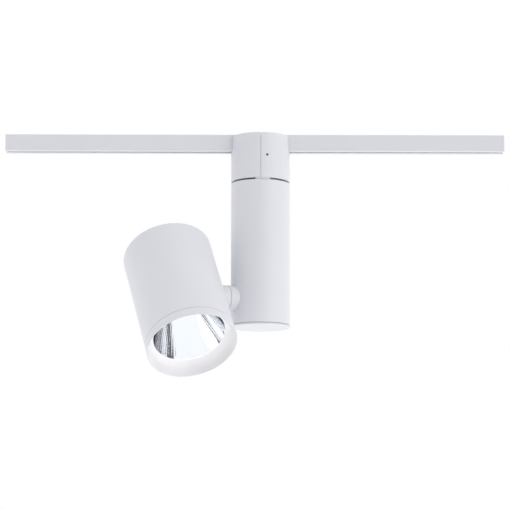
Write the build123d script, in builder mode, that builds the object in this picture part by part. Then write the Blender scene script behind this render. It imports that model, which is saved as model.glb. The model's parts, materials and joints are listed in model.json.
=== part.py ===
from build123d import *

import os
from math import asin, cos, degrees, radians, sin, tan

# Track spotlight hanging from a length of surface-mounted mini track. Millimetres, +Z up.
# The origin is on the track's top face, above the axis that the lamp turns about.

# Clearances
fit = 0.1          # between pieces that are fixed together
thread_fit = 0.05  # round a screw in its hole, and round a turning shaft
rub = 0.15         # between faces that rub on each other
turn_gap = 0.3     # between pieces that turn against each other

# Track
track_width = 18.0
track_height = 18.2
track_left = -282.6
track_right = 270.4
track_wall = 1.8
track_lip = 2.4
track_edge = 0.6
lip_edge = 0.3
track_slot = 5.0
ceiling_hole_radius = 2.25
ceiling_hole_spacing = 400.0
driver_access_radius = 4.5
liner_wall = 1.9
conductor_depth = 5.9
conductor_thickness = 1.2
conductor_height = 4.0
conductor_top = -7.0

# Adapter
body_radius = 32.5
body_wall = 2.5
body_edge = 0.5
adapter_top = -2.1
adapter_bottom = -52.8
track_clearance = 0.5
channel_wall = 1.5
seam_angle = 0.5
seam_gap = 0.3
boss_circle = 24.0
boss_radius = 4.0
base_thickness = 3.5
carrier_length = 40.0
carrier_width = 16.0
carrier_bottom = -34.0
neck_length = 34.0
neck_width = 4.0
neck_top = -5.5
clamp_spacing = 48.0
clamp_stem_radius = 2.1
set_screw_angle = 13.0
set_screw_height = -27.3
set_screw_sink = 0.9
set_screw_radius = 1.35
lead_radius = 0.75
lead_offset = 1.2

# Turning joint between adapter and column
pan_tube_radius = 5.0
pan_tube_bore = 3.5
pan_tube_top = -43.5
pan_tube_bottom = -67.0
nut_radius = 8.5
nut_height = 4.4
pan_angle = 22.14
pan_half_range = 175.0
stop_circle = 20.0
stop_pin_radius = 0.9
stop_pin_angle = 90.0
key_angle = 4.6
key_width = 16.4

# Column
column_top = -54.8
column_bottom = -214.8
top_plate_thickness = 3.0
cap_thickness = 1.9
cap_groove = 0.5
cap_spigot_height = 7.0
friction_outer = 27.5
friction_inner = 22.0

# Driver in the column
driver_depth = 26.0
driver_width = 40.0
driver_top = -78.0
driver_bottom = -154.0
driver_wall = 1.2
board_face = -7.2
board_thickness = 1.6

# Tilting joint
hinge_height = -184.2
hinge_split = 39.45
hub_radius = 14.0
hub_spigot_radius = 12.4
hub_inner_end = 22.0
bracket_thickness = 3.0
axle_radius = 5.0
axle_bore = 3.0
axle_inner_end = 12.0
tilt_angle = 36.32
tilt_range = 90.0
tilt_stop_circle = 9.0
tilt_pin_radius = 1.25

# Head, measured along its own axis from the tilt axis, positive to the front
head_offset = 95.97
head_radius = 48.8
head_wall = 2.5
head_back = -63.0
head_front = 74.7
back_wall = 3.0
back_fillet = 2.0
front_edge = 0.3
ring_length = 10.4
ring_groove = 0.5
mouth_radius = 38.95
mouth_chamfer = 0.8
ring_edge = 0.3
mouth_depth = 15.4
cone_radius = 42.8
cone_depth = 8.4
sink_seat = -2.0
sink_base = 7.0
sink_radius = 45.6
fin_radius = 33.0
fin_back = -52.0
fin_count = 9
fin_pitch = 7.0
fin_thickness = 2.0
lug_circle = 38.5
sink_notch_edge = -29.0
sink_notch_width = 20.0
board_size = 28.0
led_board_thickness = 1.5
emitter_radius = 11.0
holder_radius = 22.5
holder_bore = 12.8
reflector_neck = 14.5
reflector_back = 10.7

up = (Align.CENTER, Align.CENTER, Align.MIN)
down = (Align.CENTER, Align.CENTER, Align.MAX)
hang = (Align.CENTER, Align.MAX)

track_length = track_right - track_left
track_middle = (track_left + track_right) / 2
adapter_inner = body_radius - body_wall
hinge_dir = Vector(-cos(radians(pan_angle)), -sin(radians(pan_angle)), 0)
nose_dir = Vector(sin(radians(pan_angle)), -cos(radians(pan_angle)), 0)
beam_dir = nose_dir * sin(radians(tilt_angle)) - Vector(0, 0, cos(radians(tilt_angle)))
head_centre = hinge_dir * head_offset + Vector(0, 0, hinge_height)
head_axis = Axis(head_centre, beam_dir)
hinge_line = Axis((0, 0, 0), hinge_dir)
head_section = Plane(origin=head_centre, x_dir=hinge_dir, z_dir=hinge_dir.cross(beam_dir))
ring_back = head_front - ring_length + ring_groove
mouth = head_front - mouth_depth
sink_front = sink_seat + sink_base
board_front = sink_front + led_board_thickness


def column_plane(height):
    """Level plane in the column: X towards the hinge, Y towards the side that the beam tilts to."""
    return Plane(origin=(0, 0, height), x_dir=hinge_dir, z_dir=(0, 0, 1))


def hinge_plane(distance):
    """Plane across the tilt axis, this far from the column's axis; its Y is upwards."""
    centre = hinge_dir * distance + Vector(0, 0, hinge_height)
    return Plane(origin=centre, x_dir=nose_dir, z_dir=hinge_dir)


def head_plane(distance):
    """Plane across the head's own axis, this far in front of the tilt axis."""
    return Plane(origin=head_centre + beam_dir * distance, x_dir=hinge_dir, z_dir=beam_dir)


def turned_plane(angle, radius, height):
    """Plane facing outwards from the upright axis, at an angle from the front towards +X."""
    outwards = Vector(sin(radians(angle)), -cos(radians(angle)), 0)
    return Plane(origin=outwards * radius + Vector(0, 0, height), x_dir=(0, 0, 1), z_dir=outwards)


def turn_outline(plane, axis, points):
    """Add the solid that a closed outline makes when it turns round the axis."""
    with BuildSketch(plane) as outline:
        with BuildLine():
            Polyline(*points, close=True)
        make_face()
    revolve(outline.sketch, axis=axis)


def round_rims(axis, radius):
    """Round the two edges at the widest part of a turned piece."""
    rims = edges().filter_by(GeomType.CIRCLE).group_by(SortBy.RADIUS)[-1]
    fillet([rims.sort_by(axis)[0], rims.sort_by(axis)[-1]], radius=radius)


def hex_nuts(plane, places, radius, height, bore):
    """Add hexagon nuts standing on a plane, each with a plain bore."""
    with BuildSketch(plane) as outline:
        with Locations(*places):
            RegularPolygon(radius, 6)
            Circle(bore, mode=Mode.SUBTRACT)
    extrude(outline.sketch, amount=height)


def round_lead(points):
    """Add a lead along straight runs, with arcs as large as the runs allow."""
    runs = [end - start for start, end in zip(points, points[1:])]
    turns = [radians(a.get_angle(b)) for a, b in zip(runs, runs[1:])]
    radii = [
        0.45 * min(a.length, b.length) / tan(turn / 2)
        for a, b, turn in zip(runs, runs[1:], turns)
    ]
    print("lead radii", [round(radius, 1) for radius in radii])
    with BuildLine() as route:
        if radii:
            FilletPolyline(*points, radius=radii)
        else:
            Line(*points)
    with BuildSketch(Plane(origin=points[0], z_dir=runs[0])) as section:
        Circle(lead_radius)
    sweep(section.sketch, path=route.line)


def save(piece, name):
    """Label a finished piece and write its STEP file."""
    piece.part.label = name
    export_step(piece.part, f"parts/{name}.step")


os.makedirs("parts", exist_ok=True)

# --- Track: extruded aluminium channel, plastic liner and two copper conductors ---------------

cavity_width = track_width - 2 * track_wall
cavity_bottom = -track_height + track_lip
with BuildPart() as track_profile:
    with BuildSketch(Plane.YZ.offset(track_left)):
        Rectangle(track_width, track_height, align=hang)
        fillet(vertices(), radius=track_edge)
        with Locations((0, -track_wall)):
            Rectangle(cavity_width, -track_wall - cavity_bottom, align=hang, mode=Mode.SUBTRACT)
        with Locations((0, cavity_bottom)):
            Rectangle(track_slot, track_lip, align=hang, mode=Mode.SUBTRACT)
        fillet(vertices().group_by(Axis.Y)[0], radius=lip_edge)
    extrude(amount=track_length)
    with Locations((track_middle, 0, 0)):
        with GridLocations(ceiling_hole_spacing, 0, 2, 1):
            Cylinder(ceiling_hole_radius, track_wall, align=down, mode=Mode.SUBTRACT)
save(track_profile, "track_profile")

liner_top = -track_wall - fit
liner_bottom = cavity_bottom + fit
liner_inside = cavity_width - 2 * fit - 2 * liner_wall
with BuildPart() as track_liner:
    with BuildSketch(Plane.YZ.offset(track_left)):
        with Locations((0, liner_top)):
            Rectangle(cavity_width - 2 * fit, liner_top - liner_bottom, align=hang)
        with Locations((0, liner_top - liner_wall)):
            Rectangle(liner_inside, track_height, align=hang, mode=Mode.SUBTRACT)
        with Locations((0, conductor_top)):
            Rectangle(2 * conductor_depth, conductor_height, align=hang, mode=Mode.SUBTRACT)
    extrude(amount=track_length)
    with Locations((track_middle, 0, liner_top)):
        with GridLocations(ceiling_hole_spacing, 0, 2, 1):
            Cylinder(driver_access_radius, liner_wall, align=down, mode=Mode.SUBTRACT)
save(track_liner, "track_liner")

for name, side in (("live_conductor", -1), ("neutral_conductor", 1)):
    with BuildPart() as conductor:
        with BuildSketch(Plane.YZ.offset(track_left)):
            with Locations((side * (conductor_depth - conductor_thickness / 2), conductor_top)):
                Rectangle(conductor_thickness, conductor_height, align=hang)
        extrude(amount=track_length)
    save(conductor, name)

# --- Adapter: two half shells on a base plate, with the contacts and the track clamps ---------

slot_half = track_width / 2 + track_clearance
channel_floor = -track_height - track_clearance
channel_bottom = channel_floor - channel_wall
base_top = adapter_bottom + base_thickness
carrier_top = channel_bottom - 2 * fit
seam_plane = Plane(
    origin=(0, 0, 0),
    x_dir=(0, 0, 1),
    z_dir=(cos(radians(seam_angle)), sin(radians(seam_angle)), 0),
)
neck_gap = 2.0
boss_bore = 1.5
boss_bore_depth = 8.0
set_screw_hole_depth = 8.0
halves = (
    ("adapter_shell_left", Keep.BOTTOM, -seam_gap / 2),
    ("adapter_shell_right", Keep.TOP, seam_gap / 2),
)
for name, keep, shift in halves:
    with BuildPart() as shell:
        turn_outline(Plane.XZ, Axis.Z, (
            (adapter_inner, adapter_bottom),
            (body_radius, adapter_bottom),
            (body_radius, adapter_top),
            (0, adapter_top),
            (0, adapter_top - body_wall),
            (adapter_inner, adapter_top - body_wall),
        ))
        round_rims(Axis.Z, body_edge)
        with BuildSketch(Plane.XY.offset(channel_bottom)):
            Circle(body_radius - body_wall / 2)
            Rectangle(2 * body_radius, 2 * (slot_half + channel_wall), mode=Mode.INTERSECT)
        extrude(amount=adapter_top - channel_bottom)
        with BuildSketch(Plane.XY.offset(base_top)):
            with PolarLocations(boss_circle, 4, start_angle=45):
                Circle(boss_radius)
        extrude(amount=adapter_top - body_wall - base_top)
        with Locations((0, 0, channel_floor)):
            Box(3 * body_radius, 2 * slot_half, track_height, align=up, mode=Mode.SUBTRACT)
            opening = (neck_length + 2 * neck_gap, neck_width + 2 * neck_gap, channel_wall)
            Box(*opening, align=down, mode=Mode.SUBTRACT)
            with GridLocations(clamp_spacing, 0, 2, 1):
                clamp_hole_radius = clamp_stem_radius + fit
                Cylinder(clamp_hole_radius, channel_wall, align=down, mode=Mode.SUBTRACT)
        with BuildSketch(Plane.XY.offset(base_top)):
            with PolarLocations(boss_circle, 4, start_angle=45):
                Circle(boss_bore)
        extrude(amount=boss_bore_depth, mode=Mode.SUBTRACT)
        with BuildSketch(turned_plane(set_screw_angle, body_radius, set_screw_height)):
            Circle(set_screw_radius + thread_fit)
        extrude(amount=set_screw_hole_depth, both=True, mode=Mode.SUBTRACT)
        split(bisect_by=seam_plane.offset(shift), keep=keep)
    save(shell, name)

key_half_angle = degrees(asin(key_width / 2 / body_radius))
key_inner = friction_outer + 0.7
key_bottom = column_top + turn_gap
key_tongue_height = 1.8
key_tongue_thickness = 1.3
key_tongue_top = adapter_bottom + key_tongue_height
with BuildPart() as seam_key:
    with BuildSketch(Plane.XY.offset(key_bottom)):
        with BuildLine():
            CenterArc((0, 0), body_radius, key_angle - 90 - key_half_angle, 2 * key_half_angle)
            CenterArc((0, 0), key_inner, key_angle - 90 - key_half_angle, 2 * key_half_angle)
            Line(edges()[0] @ 0, edges()[1] @ 0)
            Line(edges()[0] @ 1, edges()[1] @ 1)
        make_face()
    extrude(amount=adapter_bottom - 2 * fit - key_bottom)
    with BuildSketch(turned_plane(key_angle, key_inner, key_bottom)):
        with Locations(((key_tongue_top - key_bottom) / 2, 0)):
            Rectangle(key_tongue_top - key_bottom, key_width / 2)
    extrude(amount=key_tongue_thickness)
save(seam_key, "seam_key")

countersink_radius = 2.9
countersink_depth = 1.5
screw_radius = 1.45
base_screw_length = 10.0
screw_socket_radius = 1.0
screw_socket_depth = 1.0
stop_pin_seat = 1.0
with BuildPart(Plane.XY.offset(adapter_bottom)) as adapter_base:
    Cylinder(adapter_inner - 2 * fit, base_thickness, align=up)
    Cylinder(pan_tube_radius + thread_fit, base_thickness, align=up, mode=Mode.SUBTRACT)
    with PolarLocations(boss_circle, 4, start_angle=45):
        hole_radius = screw_radius + fit
        Cylinder(hole_radius, base_thickness, align=up, mode=Mode.SUBTRACT)
        Cone(countersink_radius + fit, hole_radius, countersink_depth, align=up, mode=Mode.SUBTRACT)
    with PolarLocations(stop_circle, 1, start_angle=stop_pin_angle):
        Cylinder(stop_pin_radius, stop_pin_seat, align=up, mode=Mode.SUBTRACT)
    with BuildSketch(turned_plane(key_angle, key_inner - fit, adapter_bottom)):
        Rectangle(2 * (key_tongue_height + 2 * fit), key_width / 2 + 2 * fit)
    extrude(amount=key_tongue_thickness + 2 * fit, mode=Mode.SUBTRACT)
save(adapter_base, "adapter_base")

with BuildPart(Plane.XY.offset(adapter_bottom)) as base_screws:
    with PolarLocations(boss_circle, 4, start_angle=45):
        Cone(countersink_radius, screw_radius, countersink_depth, align=up)
        Cylinder(screw_radius, base_screw_length, align=up)
        Cylinder(screw_socket_radius, screw_socket_depth, align=up, mode=Mode.SUBTRACT)
save(base_screws, "base_screws")

carrier_height = carrier_top - carrier_bottom
carrier_corner = 2.0
screw_tip_radius = 19.9
lug_front = screw_tip_radius - 1.0
lug_width = 10.0
lug_height = 8.0
with BuildPart(Plane.XY.offset(carrier_bottom)) as contact_carrier:
    Box(carrier_length, carrier_width, carrier_height, align=up)
    fillet(edges().filter_by(Axis.Z), radius=carrier_corner)
    with Locations((0, 0, carrier_height)):
        Box(neck_length, neck_width, neck_top - carrier_top, align=up)
    with Locations((lug_width / 2 - 1, -carrier_width / 2, set_screw_height - carrier_bottom)):
        lug_align = (Align.CENTER, Align.MAX, Align.CENTER)
        Box(lug_width, lug_front - carrier_width / 2, lug_height, align=lug_align)
save(contact_carrier, "contact_carrier")

spring_foot = neck_width / 2 + thread_fit
spring_crown = conductor_depth - conductor_thickness - 2 * fit
spring_thickness = 0.4
spring_width = 3.0
spring_half_length = 10.0
crown_half_length = 3.0
spring_outline = (
    (-spring_half_length, spring_foot),
    (-crown_half_length, spring_crown - spring_thickness),
    (crown_half_length, spring_crown - spring_thickness),
    (spring_half_length, spring_foot),
    (spring_half_length, spring_foot + spring_thickness),
    (crown_half_length, spring_crown),
    (-crown_half_length, spring_crown),
    (-spring_half_length, spring_foot + spring_thickness),
)
with BuildPart() as contact_springs:
    with BuildSketch(Plane.XY.offset(conductor_top - conductor_height / 2 - spring_width / 2)):
        with BuildLine():
            Polyline(*spring_outline, close=True)
        make_face()
        mirror(about=Plane.XZ)
    extrude(amount=spring_width)
save(contact_springs, "contact_springs")

clamp_head_bottom = cavity_bottom + 2 * fit
clamp_head_height = 2.2
clamp_head_length = 9.2
clamp_bottom = -29.0
with BuildPart() as clamp_bolts:
    with GridLocations(clamp_spacing, 0, 2, 1):
        with Locations((0, 0, clamp_head_bottom)):
            Box(2 * clamp_stem_radius, clamp_head_length, clamp_head_height, align=up)
            Cylinder(clamp_stem_radius, clamp_head_bottom - clamp_bottom, align=down)
save(clamp_bolts, "clamp_bolts")

clamp_nut_height = 4.0
clamp_nut_radius = 4.0
nut_plane = Plane.XY.offset(channel_bottom - fit - clamp_nut_height)
nut_places = ((-clamp_spacing / 2, 0), (clamp_spacing / 2, 0))
with BuildPart() as clamp_nuts:
    nut_bore = clamp_stem_radius + thread_fit
    hex_nuts(nut_plane, nut_places, clamp_nut_radius, clamp_nut_height, nut_bore)
save(clamp_nuts, "clamp_nuts")

screw_face_radius = body_radius - set_screw_sink
set_screw_socket = 0.8
set_screw_socket_depth = 2.0
with BuildPart() as set_screw:
    with BuildSketch(turned_plane(set_screw_angle, screw_face_radius, set_screw_height)):
        Circle(set_screw_radius)
    extrude(amount=screw_tip_radius - screw_face_radius)
    with BuildSketch(turned_plane(set_screw_angle, screw_face_radius, set_screw_height)):
        RegularPolygon(set_screw_socket, 6)
    extrude(amount=-set_screw_socket_depth, mode=Mode.SUBTRACT)
save(set_screw, "set_screw")

# --- Swivel between adapter and column: a hollow threaded tube with a stop pin ----------------

tube_chamfer = 0.5
with BuildPart(Plane.XY.offset(pan_tube_bottom)) as pan_tube:
    Cylinder(pan_tube_radius, pan_tube_top - pan_tube_bottom, align=up)
    chamfer(edges().filter_by(GeomType.CIRCLE), length=tube_chamfer)
    Cylinder(pan_tube_bore, pan_tube_top - pan_tube_bottom, align=up, mode=Mode.SUBTRACT)
save(pan_tube, "pan_tube")

plate_bottom = column_top - top_plate_thickness
washer_thickness = 1.0
lower_nut_top = plate_bottom - rub - washer_thickness - fit
for name, nut_bottom in (
    ("pan_upper_nut", base_top + thread_fit),
    ("pan_lower_nut", lower_nut_top - nut_height),
):
    nut_plane = Plane.XY.offset(nut_bottom)
    with BuildPart() as pan_nut:
        hex_nuts(nut_plane, ((0, 0),), nut_radius, nut_height, pan_tube_radius + thread_fit)
    save(pan_nut, name)

with BuildPart(Plane.XY.offset(plate_bottom - rub)) as pan_spring_washer:
    Cylinder(nut_radius, washer_thickness, align=down)
    Cylinder(pan_tube_radius + fit, washer_thickness, align=down, mode=Mode.SUBTRACT)
save(pan_spring_washer, "pan_spring_washer")

thrust_radius = 12.0
thrust_thickness = adapter_bottom - column_top - thread_fit - rub
with BuildPart(Plane.XY.offset(adapter_bottom - thread_fit)) as pan_thrust_washer:
    Cylinder(thrust_radius, thrust_thickness, align=down)
    Cylinder(pan_tube_radius + fit, thrust_thickness, align=down, mode=Mode.SUBTRACT)
save(pan_thrust_washer, "pan_thrust_washer")

groove_depth = 1.7
pin_top = adapter_bottom + stop_pin_seat - thread_fit
pin_bottom = column_top - groove_depth + turn_gap
with BuildPart(Plane.XY.offset(pin_top)) as pan_stop_pin:
    with PolarLocations(stop_circle, 1, start_angle=stop_pin_angle):
        Cylinder(stop_pin_radius - thread_fit, pin_top - pin_bottom, align=down)
save(pan_stop_pin, "pan_stop_pin")

supply_end = -57.0
supply_route = ((6.0, carrier_bottom), (6.0, -38.5), (lead_offset, -44.5), (lead_offset, supply_end))
with BuildPart() as supply_leads:
    for side in (-1, 1):
        round_lead([Vector(side * across, 0, height) for across, height in supply_route])
save(supply_leads, "supply_leads")

# --- Column: tube with a pressed-in top plate, a snap-in end cap and the driver ----------------

tube_bottom = column_bottom + cap_thickness + cap_groove
with BuildPart() as column_tube:
    turn_outline(Plane.XZ, Axis.Z, (
        (adapter_inner, tube_bottom),
        (body_radius, tube_bottom),
        (body_radius, column_top),
        (adapter_inner, column_top),
    ))
    round_rims(Axis.Z, body_edge)
    with BuildSketch(hinge_plane(hub_inner_end)):
        Circle(hub_spigot_radius + fit)
    extrude(amount=hub_radius, mode=Mode.SUBTRACT)
save(column_tube, "column_tube")

bracket_screw_position = -24.5
bracket_screw_spacing = 6.0
bracket_screw_radius = 1.25
stop_half_angle = 180 - pan_half_range
stop_play = 0.25
stop_half_width = stop_circle * sin(radians(stop_half_angle)) - stop_pin_radius - stop_play
groove_half_width = stop_pin_radius + turn_gap
bracket_hole_depth = 2.4
with BuildPart(column_plane(column_top)) as column_top_plate:
    Cylinder(adapter_inner - fit, top_plate_thickness, align=down)
    Cylinder(pan_tube_radius + thread_fit, top_plate_thickness, align=down, mode=Mode.SUBTRACT)
    with BuildSketch(column_plane(column_top)):
        Circle(stop_circle + groove_half_width)
        Circle(stop_circle - groove_half_width, mode=Mode.SUBTRACT)
        with PolarLocations(stop_circle, 1, start_angle=stop_pin_angle):
            Rectangle(4 * groove_half_width, 2 * stop_half_width, mode=Mode.SUBTRACT)
    extrude(amount=-groove_depth, mode=Mode.SUBTRACT)
    with Locations((bracket_screw_position, 0, -top_plate_thickness)):
        with GridLocations(0, bracket_screw_spacing, 1, 2):
            pilot_radius = bracket_screw_radius + thread_fit
            Cylinder(pilot_radius, bracket_hole_depth, align=up, mode=Mode.SUBTRACT)
save(column_top_plate, "column_top_plate")

with BuildPart(Plane.XY.offset(column_top)) as friction_disc:
    disc_thickness = adapter_bottom - column_top - rub
    Cylinder(friction_outer, disc_thickness, align=up)
    Cylinder(friction_inner, disc_thickness, align=up, mode=Mode.SUBTRACT)
save(friction_disc, "friction_disc")

with BuildPart() as end_cap:
    turn_outline(Plane.XZ, Axis.Z, (
        (0, column_bottom),
        (body_radius, column_bottom),
        (body_radius, column_bottom + cap_thickness),
        (adapter_inner - fit, column_bottom + cap_thickness),
        (adapter_inner - fit, column_bottom + cap_spigot_height),
        (adapter_inner - body_wall, column_bottom + cap_spigot_height),
        (adapter_inner - body_wall, column_bottom + cap_thickness),
        (0, column_bottom + cap_thickness),
    ))
    round_rims(Axis.Z, body_edge)
save(end_cap, "end_cap")

case_back = -driver_depth / 2
lid_thickness = driver_wall
case_front = driver_depth / 2 - lid_thickness
driver_height = driver_top - driver_bottom
board_back = board_face - board_thickness
output_position = -4.0
lead_gap = 3.0
driver_screw_heights = (16.0, 64.0)
case_corner = 0.8
with BuildPart(column_plane(driver_bottom)) as driver_case:
    with Locations((case_back, 0, 0)):
        case_align = (Align.MIN, Align.CENTER, Align.MIN)
        Box(case_front - case_back, driver_width, driver_height, align=case_align)
    fillet(edges().filter_by(Axis.Z), radius=case_corner)
    with Locations((case_back + driver_wall, 0, driver_wall)):
        inside_width = driver_width - 2 * driver_wall
        inside_height = driver_height - 2 * driver_wall
        Box(driver_depth, inside_width, inside_height, align=case_align, mode=Mode.SUBTRACT)
    with Locations((0, 0, driver_height)):
        Cylinder(lead_gap, driver_wall, align=down, mode=Mode.SUBTRACT)
    with Locations((output_position, 0, 0)):
        Cylinder(lead_gap, driver_wall, align=up, mode=Mode.SUBTRACT)
    with Locations(*[Location((case_back, 0, z), (0, 90, 0)) for z in driver_screw_heights]):
        Cylinder(bracket_screw_radius + thread_fit, driver_wall, align=up, mode=Mode.SUBTRACT)
save(driver_case, "driver_case")

with BuildPart(column_plane(driver_bottom)) as driver_lid:
    with Locations((case_front + thread_fit, 0, 0)):
        Box(lid_thickness, driver_width, driver_height, align=case_align)
save(driver_lid, "driver_lid")

board_clearance = 1.0
board_height = driver_height - 2 * driver_wall - 2 * board_clearance
with BuildPart(column_plane(driver_bottom + driver_wall + board_clearance)) as driver_board:
    with Locations((board_back, 0, 0)):
        Box(board_thickness, inside_width - 2 * board_clearance, board_height, align=case_align)
save(driver_board, "driver_board")

winding_size = (16.0, 22.0, 18.0)
core_size = (14.0, 26.0, 9.0)
winding_corner = 2.0
with BuildPart(column_plane(-126.0)) as driver_transformer:
    with Locations((board_face, 0, 0)):
        Box(*winding_size, align=case_align)
    fillet(edges().filter_by(hinge_line), radius=winding_corner)
    with Locations((board_face, 0, winding_size[2] / 2)):
        Box(*core_size, align=(Align.MIN, Align.CENTER, Align.CENTER))
save(driver_transformer, "driver_transformer")

capacitor_places = ((-9.5, -100.0), (9.5, -100.0), (11.0, -137.0))
capacitor_radius = 5.0
capacitor_length = 15.0
with BuildPart() as driver_capacitors:
    for across, height in capacitor_places:
        foot = column_plane(height).from_local_coords(Vector(board_face, across, 0))
        with BuildSketch(Plane(origin=foot, x_dir=(0, 0, 1), z_dir=hinge_dir)):
            Circle(capacitor_radius)
        extrude(amount=capacitor_length)
save(driver_capacitors, "driver_capacitors")

terminal_height = 8.0
terminal_depth = 10.0
terminal_width = 11.0
input_terminal_top = -82.0
output_terminal_bottom = -150.0
with BuildPart() as driver_terminals:
    for height in (input_terminal_top - terminal_height, output_terminal_bottom):
        with BuildSketch(column_plane(height)):
            with Locations((board_face, 0)):
                Rectangle(terminal_depth, terminal_width, align=(Align.MIN, Align.CENTER))
        extrude(amount=terminal_height)
save(driver_terminals, "driver_terminals")

bracket_sheet = 1.3
bracket_width = 12.0
leg_clearance = 8.0
foot_start = -28.0
screw_head_radius = 2.2
screw_head_height = 1.8
leg_back = case_back - fit - bracket_sheet
leg_align = (Align.MIN, Align.CENTER, Align.MAX)
bracket_top = plate_bottom - fit
driver_screw_drops = [driver_bottom + height - bracket_top for height in driver_screw_heights]
with BuildPart(column_plane(bracket_top)) as driver_bracket:
    with Locations((leg_back, 0, 0)):
        leg_length = bracket_top - driver_bottom - leg_clearance
        Box(bracket_sheet, bracket_width, leg_length, align=leg_align)
    with Locations((foot_start, 0, 0)):
        Box(leg_back + bracket_sheet - foot_start, bracket_width, bracket_sheet, align=leg_align)
    with Locations((bracket_screw_position, 0, 0)):
        with GridLocations(0, bracket_screw_spacing, 1, 2):
            hole_radius = bracket_screw_radius + fit
            Cylinder(hole_radius, bracket_sheet, align=down, mode=Mode.SUBTRACT)
    with Locations(*[Location((leg_back, 0, z), (0, 90, 0)) for z in driver_screw_drops]):
        Cylinder(hole_radius, bracket_sheet, align=up, mode=Mode.SUBTRACT)
save(driver_bracket, "driver_bracket")

with BuildPart(column_plane(bracket_top - bracket_sheet - thread_fit)) as bracket_screws:
    with Locations((bracket_screw_position, 0, 0)):
        with GridLocations(0, bracket_screw_spacing, 1, 2):
            Cylinder(screw_head_radius, screw_head_height, align=down)
            shank_length = bracket_sheet + bracket_hole_depth - 2 * fit
            Cylinder(bracket_screw_radius, shank_length, align=up)
save(bracket_screws, "bracket_screws")

with BuildPart(column_plane(bracket_top)) as driver_screws:
    screw_start = leg_back - thread_fit
    with Locations(*[Location((screw_start, 0, z), (0, 90, 0)) for z in driver_screw_drops]):
        Cylinder(screw_head_radius, screw_head_height, align=down)
        Cylinder(bracket_screw_radius, bracket_sheet + driver_wall, align=up)
save(driver_screws, "driver_screws")

input_start = supply_end - lead_gap
with BuildPart() as driver_input_leads:
    for side in (-1, 1):
        round_lead([
            column_plane(input_start).from_local_coords(Vector(0, side * lead_offset, 0)),
            column_plane(input_terminal_top).from_local_coords(Vector(0, side * lead_offset, 0)),
        ])
save(driver_input_leads, "driver_input_leads")

output_route = ((output_position, output_terminal_bottom), (output_position, -172.0),
                (8.2, hinge_height), (24.0, hinge_height))
with BuildPart() as driver_output_leads:
    for side in (-1, 1):
        round_lead([
            column_plane(height).from_local_coords(Vector(along, side * lead_offset, 0))
            for along, height in output_route
        ])
save(driver_output_leads, "driver_output_leads")

# --- Tilting joint: hub on the column, hollow axle fixed in the head ---------------------------

hub_end = hinge_split - turn_gap / 2
edge_break = 0.4
hub_screw_circle = 10.4
hub_screw_radius = 1.1
hub_screw_head = 1.9
hub_screw_head_height = 2.0
hub_screw_length = 9.0
hub_screw_socket = 1.0
hub_hole_depth = 8.0
tilt_pin_seat = 4.0
with BuildPart() as column_hub:
    with BuildSketch(hinge_plane(hub_inner_end + bracket_thickness)):
        Circle(hub_radius)
    extrude(amount=hub_end - hub_inner_end - bracket_thickness)
    chamfer(edges().filter_by(GeomType.CIRCLE).sort_by(hinge_line)[-1], edge_break)
    with Locations((0, 0, hinge_height)):
        Cylinder(body_radius + thread_fit, 4 * hub_radius, mode=Mode.SUBTRACT)
    with BuildSketch(hinge_plane(hub_inner_end + thread_fit)):
        Circle(hub_spigot_radius)
    extrude(amount=body_radius - hub_inner_end)
    with BuildSketch(hinge_plane(hub_inner_end)):
        Circle(axle_radius + thread_fit)
    extrude(amount=hub_radius + hub_inner_end, mode=Mode.SUBTRACT)
    with BuildSketch(hinge_plane(hub_inner_end)):
        with PolarLocations(hub_screw_circle, 4, start_angle=45):
            Circle(hub_screw_radius + thread_fit)
    extrude(amount=hub_hole_depth, mode=Mode.SUBTRACT)
    with BuildSketch(hinge_plane(hub_end)):
        with PolarLocations(tilt_stop_circle, 1, start_angle=90):
            Circle(tilt_pin_radius)
    extrude(amount=-tilt_pin_seat, mode=Mode.SUBTRACT)
save(column_hub, "column_hub")

hinge_plate_width = 40.4
hinge_plate_height = 40.0
axle_clearance = 0.6
with BuildPart(hinge_plane(hub_inner_end - bracket_thickness)) as hinge_bracket:
    Box(hinge_plate_width, hinge_plate_height, bracket_thickness, align=up)
    Cylinder(axle_radius + axle_clearance, bracket_thickness, align=up, mode=Mode.SUBTRACT)
    with PolarLocations(hub_screw_circle, 4, start_angle=45):
        Cylinder(hub_screw_radius + fit, bracket_thickness, align=up, mode=Mode.SUBTRACT)
save(hinge_bracket, "hinge_bracket")

hub_screw_face = hub_inner_end - bracket_thickness - thread_fit
with BuildPart(hinge_plane(hub_screw_face)) as hub_screws:
    with PolarLocations(hub_screw_circle, 4, start_angle=45):
        Cylinder(hub_screw_head, hub_screw_head_height, align=down)
        Cylinder(hub_screw_radius, hub_screw_length, align=up)
    with Locations((0, 0, -hub_screw_head_height)):
        with PolarLocations(hub_screw_circle, 4, start_angle=45):
            Cylinder(hub_screw_socket, hub_screw_socket, align=up, mode=Mode.SUBTRACT)
save(hub_screws, "hub_screws")

tilt_pin_reach = 2.6
with BuildPart(hinge_plane(hub_end + tilt_pin_reach)) as tilt_stop_pin:
    with PolarLocations(tilt_stop_circle, 1, start_angle=90):
        tilt_pin_length = tilt_pin_reach + tilt_pin_seat - fit
        Cylinder(tilt_pin_radius - thread_fit, tilt_pin_length, align=down)
save(tilt_stop_pin, "tilt_stop_pin")

axle_outer_end = 57.97
with BuildPart(hinge_plane(axle_inner_end)) as hinge_axle:
    Cylinder(axle_radius, axle_outer_end - axle_inner_end, align=up)
    chamfer(edges().filter_by(GeomType.CIRCLE), length=tube_chamfer)
    Cylinder(axle_bore, axle_outer_end - axle_inner_end, align=up, mode=Mode.SUBTRACT)
save(hinge_axle, "hinge_axle")

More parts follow.
